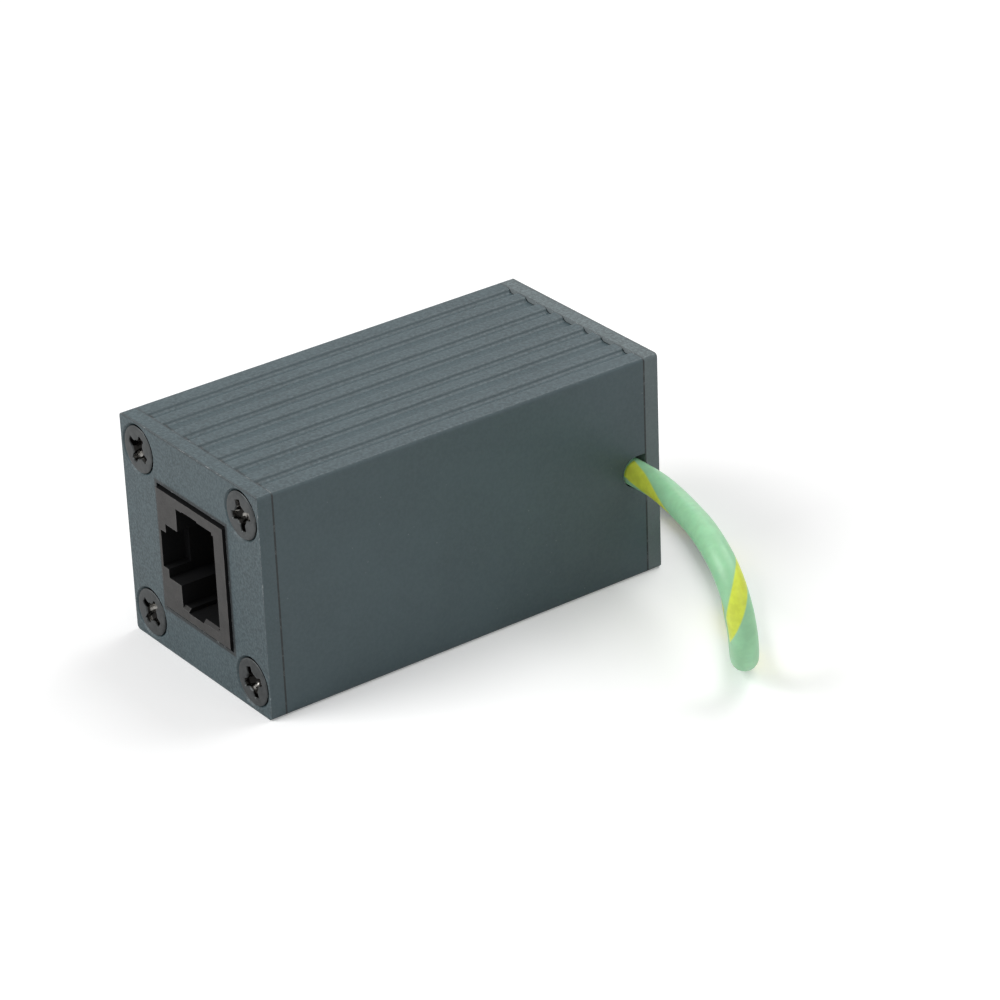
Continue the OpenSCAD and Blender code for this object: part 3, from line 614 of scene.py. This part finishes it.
# The finish of each material slot
finish = {
    "tube": painted("tube_finish", PAINT, 2.4, 0.07, 0.53, False),
    "end_plate": painted("plate_finish", PAINT, 3.2, 0.09, 0.54, True),
    "screw": black_steel(),
    "socket": socket_material(),
    "carrier": plastic("carrier_plastic", (0.010, 0.010, 0.011), (0.5, 0.6), 6.0),
    "contact": metal("gold_plating", (0.90, 0.64, 0.26), (0.34, 0.44), 1.0, relief=0.03),
    "board": board_material(),
    "ceramic": plastic("tube_ceramic", (0.78, 0.74, 0.66), (0.25, 0.38), 3.0, 0.02),
    "electrode": metal("nickel_plating", (0.62, 0.60, 0.57), (0.22, 0.36), 2.0, (0.42, 0.39, 0.34)),
    "diode": plastic("diode_epoxy", (0.020, 0.020, 0.022), (0.5, 0.62), 8.0),
    "chip": plastic("chip_glaze", (0.016, 0.016, 0.018), (0.22, 0.32), 4.0),
    "solder": metal("bright_solder", (0.68, 0.68, 0.67), (0.20, 0.36), 3.0, (0.45, 0.44, 0.42)),
    "lead": lead_material("inner_lead_insulation", False),
    "copper": strands_material(),
    "tie": plastic("tie_nylon", (0.016, 0.016, 0.017), (0.35, 0.48), 4.0),
    "terminal": metal("tinned_copper", (0.66, 0.65, 0.62), (0.24, 0.42), 1.6, (0.40, 0.37, 0.33)),
    "sleeve": plastic("sleeve_vinyl", (0.020, 0.085, 0.38), (0.28, 0.40), 3.0, 0.03, 0.6),
}


def dress(ob, material):
    ob.data.materials.clear()
    ob.data.materials.append(material)


for entry in frame["record"]["subparts"]:
    dress(nodes[entry["node"]], finish[entry["material_slot"]])
# The rear plate gets a paler copy of the plate paint: painted light
dress(nodes["rear_end_plate"], painted("rear_plate_lit_finish", REAR_PAINT_LIT, 3.2, 0.09, 0.54, True))


def mark(ob, node, slot, degrees=32):
    """Finishes a piece that replaces a CAD node; edges steeper than that stay sharp."""
    outward(ob)
    ob.data.set_sharp_from_angle(angle=math.radians(degrees))
    dress(ob, finish[slot])
    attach(ob, "root")
    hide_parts(node)
    return ob


# Countersunk screws with a cross recess, in mm
HEAD_R, HEAD_TALL, HEAD_DISH = 2.88, 1.8, 0.05
CORE_R, CREST_R, THREAD_PITCH, THREAD_RUN_IN, SCREW_L = 1.12, 1.44, 1.1, 0.8, 9.0
TIP_TALL, THREAD_STEPS, RIDGE_SLOPE = 1.45, 8, 3.2
RECESS_D, RECESS_SLOPE = 1.35, 0.42
WING_L, WING_HALF, WING_SLOPE, WING_END = 1.88, 0.50, 0.13, 0.12
FLARE, FLARE_SLOPE = 1.62, 1.7
ROUND = 40
QUARTER = ROUND // 4

# Radii of the rings on the head's face, and (radius, depth) of those below it
FACE_RINGS = (0.12, 0.3, 0.46, 0.62, 0.78, 0.92, 1.06, 1.2, 1.35, 1.5, 1.64,
              WING_L - WING_END, WING_L, 1.96, 2.2, 2.45, 2.7)
RIM_RINGS = ((2.80, 0.02), (HEAD_R - 0.02, 0.08), (HEAD_R, 0.18), (HEAD_R - 0.03, 0.28),
             (2.2, 0.98), (1.5, 1.68), (CORE_R, HEAD_TALL))
TIP_RINGS = ((0.95, SCREW_L - 1.0), (0.5, SCREW_L - 0.3), (0.12, SCREW_L))


def recess_depth(x, y):
    """Depth of the cross recess under a point of the head."""
    along, across = max(abs(x), abs(y)), min(abs(x), abs(y))
    bed = RECESS_D - RECESS_SLOPE * math.hypot(x, y)
    flare = min(bed, FLARE_SLOPE * (FLARE - along - across))
    wing = bed if along < WING_L - WING_END else bed * (WING_L - along) / WING_END
    wing *= min(1.0, max(0.0, (WING_HALF - across) / WING_SLOPE))
    return max(0.0, flare, wing)


def wing_angle(half_width, r, most):
    """Degrees at which a wing's side crosses radius r, whose sine is held to most."""
    return math.degrees(math.asin(min(most, half_width / r)))


def ring_angle(r, k):
    """Angle of point k: on the sides of the wings near the middle, evenly spaced at the rim."""
    quad, step = divmod(k, QUARTER)
    low = wing_angle(WING_HALF - WING_SLOPE, r, 0.66)
    top = wing_angle(WING_HALF, r, 0.69)
    half = [0, low / 2, low, top, (top + 45) / 2, 45]
    cut = half[step] if step < len(half) else 90 - half[QUARTER - step]
    even = 90 / QUARTER * step
    mixed = min(1.0, max(0.0, (r - WING_L) / 0.5))
    return math.radians(90 * quad + cut * (1 - mixed) + even * mixed)


def thread_radius(z, k):
    """Radius of the thread at depth z and point k round it."""
    fade = min(1.0, (z - HEAD_TALL) / THREAD_RUN_IN)
    phase = (z / THREAD_PITCH - k / ROUND) % 1.0
    ridge = max(0.0, 1 - abs(phase - 0.5) * RIDGE_SLOPE)
    return CORE_R + (CREST_R - CORE_R) * ridge * fade


def screw_shell(place):
    """Points and faces of one screw, set by place from (x, y, depth)."""
    verts = [place(0.0, 0.0, RECESS_D)]
    for r in FACE_RINGS:
        for k in range(ROUND):
            a = ring_angle(r, k)
            x, y = r * math.cos(a), r * math.sin(a)
            verts.append(place(x, y, recess_depth(x, y) - HEAD_DISH * (1 - (r / HEAD_R) ** 2)))
    for r, depth in RIM_RINGS:
        for k in range(ROUND):
            a = ring_angle(r, k)
            verts.append(place(r * math.cos(a), r * math.sin(a), depth))
    shank = []
    z = HEAD_TALL
    while z < SCREW_L - TIP_TALL:
        z += THREAD_PITCH / THREAD_STEPS
        shank.append(([thread_radius(z, k) for k in range(ROUND)], z))
    shank += [([r] * ROUND, z) for r, z in TIP_RINGS]
    for radii, z in shank:
        for k, r in enumerate(radii):
            a = 2 * math.pi * k / ROUND
            verts.append(place(r * math.cos(a), r * math.sin(a), z))
    rings = len(FACE_RINGS) + len(RIM_RINGS) + len(shank)
    faces = [(0, 1 + (k + 1) % ROUND, 1 + k) for k in range(ROUND)]
    faces += [tuple(reversed(f)) for f in grid_faces(rings, ROUND, first=1)]
    end = len(verts) - ROUND
    faces.append(tuple(end + k for k in range(ROUND)))
    return verts, faces


def plate_screws(name, node, way, turns):
    """The four screws of an end plate: way is -1 at the front and 1 at the rear."""
    parts = []
    for i, turn in enumerate(turns):
        cx = (i % 2 * 2 - 1) * SCREW_OFF
        cz = CASE_MID + (i // 2 * 2 - 1) * SCREW_OFF
        c, s = math.cos(math.radians(turn)), math.sin(math.radians(turn))

        def place(x, y, z):
            return (cx + c * x - s * y, way * (FACE_Y - z), cz - (s * x + c * y))

        parts.append(screw_shell(place))
    mark(shells(name, parts), node, "screw")


plate_screws("front_countersunk_screws", "front_plate_screws", -1, [35, 68, 28, 74])
plate_screws("rear_countersunk_screws", "rear_plate_screws", 1, [12, 50, 81, 33])

# The tie round the hank, in mm
TIE_Y, TIE_W, STRAP_T, STRAP_BEVEL = 14.5, 2.9, 0.56, 0.14
TAIL_LEAN = 5


def strap():
    """The strap round the three runs: flat over them, round at both sides."""
    r = LEAD_R + STRAP_T / 2 + 0.01
    line = []
    for side, start in ((1, -90), (-1, 90)):
        for k in range(13):
            a = math.radians(start + 180 * k / 12)
            line.append((HANK_X + side * RUN + r * math.cos(a), RUN_Z + r * math.sin(a), a))
        for k in range(1, 12):
            line.append((HANK_X + side * RUN * (1 - k / 6), RUN_Z + side * r, math.radians(90 * side)))
    w, t, b = TIE_W / 2, STRAP_T / 2, STRAP_BEVEL
    section = [(-w, -t + b), (-w + b, -t), (w - b, -t), (w, -t + b),
               (w, t - b), (w - b, t), (-w + b, t), (-w, t - b)]
    verts = [(x + math.cos(a) * o, TIE_Y + y, z + math.sin(a) * o) for x, z, a in line for y, o in section]
    n, m = len(line), len(section)
    faces = [(i * m + k, i * m + (k + 1) % m, (i + 1) % n * m + (k + 1) % m, (i + 1) % n * m + k)
             for i in range(n) for k in range(m)]
    return verts, faces


def tie():
    """Strap, head with a raised rim, cut tail, and the teeth of tail and strap."""
    top = RUN_Z + LEAD_R + STRAP_T

    def piece(dx, dy, dz, size, bevel, segments=2, turn=None):
        return block((HANK_X + dx, TIE_Y + dy, top + dz), size, bevel, segments, turn)

    lean = Matrix.Rotation(math.radians(TAIL_LEAN), 3, "Y")
    head = piece(0, 0, 1.22, (3.9, 3.7, 2.36), 0.42, 3)
    foot = piece(0, 0, 0.30, (3.3, 3.2, 0.9), 0.2)
    tail = piece(0, 0, 3.05, (0.62, 2.3, 1.9), 0.10, 2, lean)
    rim_ends = [piece(0, 1.3775 * side, 2.42, (1.5, 0.306, 0.3), 0.08) for side in (1, -1)]
    rim_sides = [piece(0.86 * side, 0, 2.42, (0.34, 2.61, 0.3), 0.08) for side in (1, -1)]
    tail_teeth = [piece(0.36, 0, 2.5 + 0.26 * k, (0.14, 1.7, 0.12), 0.04, 1, lean) for k in range(6)]
    strap_teeth = [piece(-4.2 + 0.27 * k, 0, -0.01, (0.12, 1.7, 0.10), 0.03, 1) for k in range(9)]
    parts = [strap(), head, foot] + rim_ends + rim_sides + [tail] + tail_teeth + strap_teeth
    return shells("cable_tie", parts)


# The lead's end, in mm: vinyl sleeve, ring terminal and stranded copper
SLEEVE_R = 2.18
CRIMP_Y, CRIMP_WIDE, CRIMP_DEEP, CRIMP_FLATS = 3.9, 0.62, 0.42, 0.35
EYE_Y, EYE_INNER_R, EYE_OUTER_R, RING_T, RING_BEVEL = -3.2, 2.15, 3.98, 0.8, 0.12
SHEET_T = 0.64
NECK_Y, NECK_L, NECK_W, NECK_CURL, NECK_Z = -0.2, 2.0, 3.3, 0.03, 0.40
BARREL_W, BARREL_CURL, BARREL_Z = 7.95, 6.25, RUN_Z - 1.27
BARREL_ENDS = (2.4, 4.4, 5.9)
WIRE_R, WIRE_STEPS, WIRE_SIDES = 0.185, 14, 8
WIRE_RINGS = ((0.0, 1), (0.375, 6), (0.74, 12))


def sleeve():
    """Vinyl grip: funnel over the insulation, crimped waist over the barrel."""
    outer = [(1.72, 1.60), (1.92, 1.66), (2.02, 1.85), (2.05, 2.3), (2.05, 2.9), (2.04, 3.4),
             (2.03, 3.9), (2.03, 4.4), (2.04, 4.9), (2.05, 5.4), (2.06, 5.8), (2.12, 6.2),
             (SLEEVE_R, 6.8), (SLEEVE_R, 7.7), (2.14, 7.92), (2.02, 7.98)]
    inner = [(1.86, 7.9), (1.74, 7.4), (1.66, 6.6), (1.63, 6.0), (1.63, 2.0), (1.64, 1.66)]

    def crimped(r, h, a):
        if r <= 1.9:
            return r
        near = math.exp(-((h - CRIMP_Y) / CRIMP_WIDE) ** 2)
        return r - near * max(0.0, abs(math.sin(a)) - CRIMP_FLATS) * CRIMP_DEEP

    return shells("terminal_grip", [lathe(outer + inner, 40, (HANK_X, 0, RUN_Z), shape=crimped)])


def neck_and_barrel():
    """The sheet behind the eye, which rises from flat and curls into the barrel."""
    across, steps = 22, 12
    rows = []
    for k in range(steps + 1):
        u = k / steps
        ease = u * u * (3 - 2 * u)
        rows.append((NECK_Y + NECK_L * u, NECK_W + (BARREL_W - NECK_W) * ease,
                     NECK_CURL + (BARREL_CURL - NECK_CURL) * ease, NECK_Z + (BARREL_Z - NECK_Z) * ease))
    rows += [(y, BARREL_W, BARREL_CURL, BARREL_Z) for y in BARREL_ENDS]
    verts = []
    for y, width, curl, low in rows:
        bend_r = width / curl
        for side in (-1, 1):
            for k in range(across):
                a = curl * ((k if side < 0 else across - 1 - k) / (across - 1) - 0.5)
                q = bend_r - SHEET_T / 2 * side
                verts.append((HANK_X + q * math.sin(a), y, low + bend_r - q * math.cos(a)))
    m = 2 * across
    end = (len(rows) - 1) * m
    faces = grid_faces(len(rows), m)
    for k in range(across - 1):
        faces.append((k, k + 1, m - 2 - k, m - 1 - k))
        faces.append((end + k + 1, end + k, end + m - 1 - k, end + m - 2 - k))
    return verts, faces


def terminal():
    """Ring terminal: a flat eye, a tongue, and the neck that curls into the barrel."""
    r0, r1, t, b = EYE_INNER_R, EYE_OUTER_R, RING_T, RING_BEVEL
    profile = [(r0, b), (r0 + b, 0), (r1 - b, 0), (r1, b), (r1, t - b), (r1 - b, t), (r0 + b, t), (r0, t - b)]
    eye = lathe(profile, 64, (HANK_X, EYE_Y, 0), axis="Z")
    tongue = block((HANK_X, 0.0, RING_T / 2), (NECK_W, 1.3, RING_T - 0.02), 0.1)
    return shells("crimp_ring_terminal", [neck_and_barrel(), eye, tongue])


def strand_bundle(name, start, end, turns):
    """Nineteen copper wires twisted together, between two points."""
    a, b = Vector(start), Vector(end)
    along = (b - a).normalized()
    side = along.orthogonal().normalized()
    other = along.cross(side)
    parts = []
    for ring, count in WIRE_RINGS:
        for w in range(count):
            verts = []
            for i in range(WIRE_STEPS + 1):
                u = i / WIRE_STEPS
                q = 2 * math.pi * (w / count + turns * u)
                c = a.lerp(b, u) + ring * (math.cos(q) * side + math.sin(q) * other)
                r = WIRE_R * (0.8 if i in (0, WIRE_STEPS) else 1.0)
                for k in range(WIRE_SIDES):
                    p = 2 * math.pi * k / WIRE_SIDES
                    verts.append(tuple(c + r * (math.cos(p) * side + math.sin(p) * other)))
            faces = grid_faces(WIRE_STEPS + 1, WIRE_SIDES)
            last = WIRE_STEPS * WIRE_SIDES
            faces.append(tuple(range(WIRE_SIDES)))
            faces.append(tuple(last + WIRE_SIDES - 1 - k for k in range(WIRE_SIDES)))
            parts.append((verts, faces))
    return shells(name, parts)


tie_piece = mark(tie(), "hank_tie", "tie")
grip_piece = mark(sleeve(), "terminal_sleeve", "sleeve", 50)
ring_piece = mark(terminal(), "ring_terminal", "terminal", 40)
end_wires = strand_bundle("terminal_wires", (HANK_X, LEAD_TIP_Y, RUN_Z), (HANK_X, 0.35, RUN_Z), 0.6)
end_strands = mark(end_wires, "terminal_strands", "copper", 60)

inner_low, inner_high = node_box("inner_earth_strands")
inner_mid = [(l + h) / 2 for l, h in zip(inner_low, inner_high)]
inner_wires = strand_bundle("inner_earth_wires", (inner_low[0], inner_mid[1], inner_mid[2]),
                            (inner_high[0], inner_mid[1], inner_mid[2]), 0.7)
mark(inner_wires, "inner_earth_strands", "copper", 60)

# The lead itself
dress(lead, lead_material("lead_insulation", True))
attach(lead, "root")
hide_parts("earth_lead", "earth_lead_hank")
tuple(c * MM for c in ROUTE[0])

# Softly broken edges of the CAD nodes: names, width in mm, segments
ROUNDING = (
    (("front_end_plate", "rear_end_plate"), 0.15, 2),
    (("front_socket_housing", "rear_socket_housing"), 0.10, 2),
    (("front_contact_carrier", "rear_contact_carrier"), 0.04, 1),
    (("front_contact_wires", "rear_contact_wires"), 0.04, 1),
    (("chip_resistors", "chip_resistor_caps"), 0.04, 1),
    (["surge_diode_%d" % i for i in range(1, 5)], 0.06, 2),
    (["gas_tube_%d_electrodes" % i for i in range(1, 5)], 0.08, 2),
    (["gas_tube_%d_ceramic" % i for i in range(1, 5)], 0.08, 2),
    (("housing_tube",), 0.06, 1),
)


def rounded(name, width, segments):
    """Breaks the sharp edges of a CAD node, which keeps its mesh."""
    ob = nodes[name]
    flats = ob.modifiers.new("flats", "DECIMATE")
    flats.decimate_type = "DISSOLVE"
    flats.angle_limit = math.radians(0.5)
    bevel = ob.modifiers.new("edges", "BEVEL")
    bevel.width = width * MM
    bevel.segments = segments
    bevel.limit_method = "ANGLE"
    bevel.angle_limit = math.radians(35)
    bevel.harden_normals = True
    bevel.use_clamp_overlap = True


for names, edge_width, edge_segments in ROUNDING:
    for name in names:
        rounded(name, edge_width, edge_segments)

# Floor and light
FLOOR_HALF, FLOOR_DROP = 1.6, 0.00005
FLOOR_GLOW = 0.20
FLOOR_FADE = (140, 420)
WORLD_LIGHT, WORLD_SEEN = 0.33, 1.0
LAMPS = (
    ("key", (-0.25, -0.62, 0.62), (0, 0, 0.01), 0.5, 5.2),
    ("top", (0.0, 0.36, 0.55), (0, 0.02, 0.02), 0.45, 1.9),
    ("side", (0.75, 0.10, 0.35), (0, 0, 0.01), 0.5, 0.9),
)


def floor():
    """Pale paper that fades out into the white world."""
    me = bpy.data.meshes.new("floor")
    r = FLOOR_HALF
    me.from_pydata([(-r, -r, 0), (r, -r, 0), (r, r, 0), (-r, r, 0)], [], [(0, 1, 2, 3)])
    ob = bpy.data.objects.new("floor", me)
    scene.collection.objects.link(ob)
    ob.location.z = -FLOOR_DROP
    m = Mat("floor_paper")
    m.set(Base_Color=m.mix(m.noise(0.02, 2), (0.86, 0.86, 0.86), (0.89, 0.89, 0.89)), Roughness=0.9)
    sight = m.node("ShaderNodeLightPath")
    m.set(Emission_Color=(1, 1, 1), Emission_Strength=m.times(sight.outputs["Is Camera Ray"], FLOOR_GLOW))
    clear = m.node("ShaderNodeBsdfTransparent")
    blend = m.node("ShaderNodeMixShader")
    m.link(m.ramp(m.vector("LENGTH", m.place, (0, 0, 0)), *FLOOR_FADE), blend.inputs[0])
    m.link(m.shader.outputs[0], blend.inputs[1])
    m.link(clear.outputs[0], blend.inputs[2])
    m.link(blend.outputs[0], m.out.inputs["Surface"])
    dress(ob, m.mat)


def area(name, at, to, size, power):
    """A square lamp of that size at one point, aimed at another, in metres and watts."""
    light = bpy.data.lights.new(name, "AREA")
    light.shape = "SQUARE"
    light.size = size
    light.energy = power
    ob = bpy.data.objects.new(name, light)
    scene.collection.objects.link(ob)
    ob.location = at
    ob.rotation_euler = (Vector(to) - Vector(at)).to_track_quat("-Z", "Y").to_euler()


def pale_world():
    """Dim as a light, but white to the camera and in reflections and glass."""
    world = bpy.data.worlds.new("world")
    scene.world = world
    world.use_nodes = True
    tree = world.node_tree
    tree.nodes.clear()
    path = tree.nodes.new("ShaderNodeLightPath")
    seen = path.outputs["Is Camera Ray"]
    for ray in ("Is Glossy Ray", "Is Transmission Ray"):
        either = tree.nodes.new("ShaderNodeMath")
        either.operation = "ADD"
        either.use_clamp = True
        tree.links.new(seen, either.inputs[0])
        tree.links.new(path.outputs[ray], either.inputs[1])
        seen = either.outputs[0]
    blend = tree.nodes.new("ShaderNodeMixShader")
    tree.links.new(seen, blend.inputs[0])
    for slot, strength in ((1, WORLD_LIGHT), (2, WORLD_SEEN)):
        sky = tree.nodes.new("ShaderNodeBackground")
        sky.inputs["Color"].default_value = (1, 1, 1, 1)
        sky.inputs["Strength"].default_value = strength
        tree.links.new(sky.outputs[0], blend.inputs[slot])
    out = tree.nodes.new("ShaderNodeOutputWorld")
    tree.links.new(blend.outputs[0], out.inputs["Surface"])


floor()
for lamp in LAMPS:
    area(*lamp)
pale_world()
scene.view_settings.view_transform = "Standard"
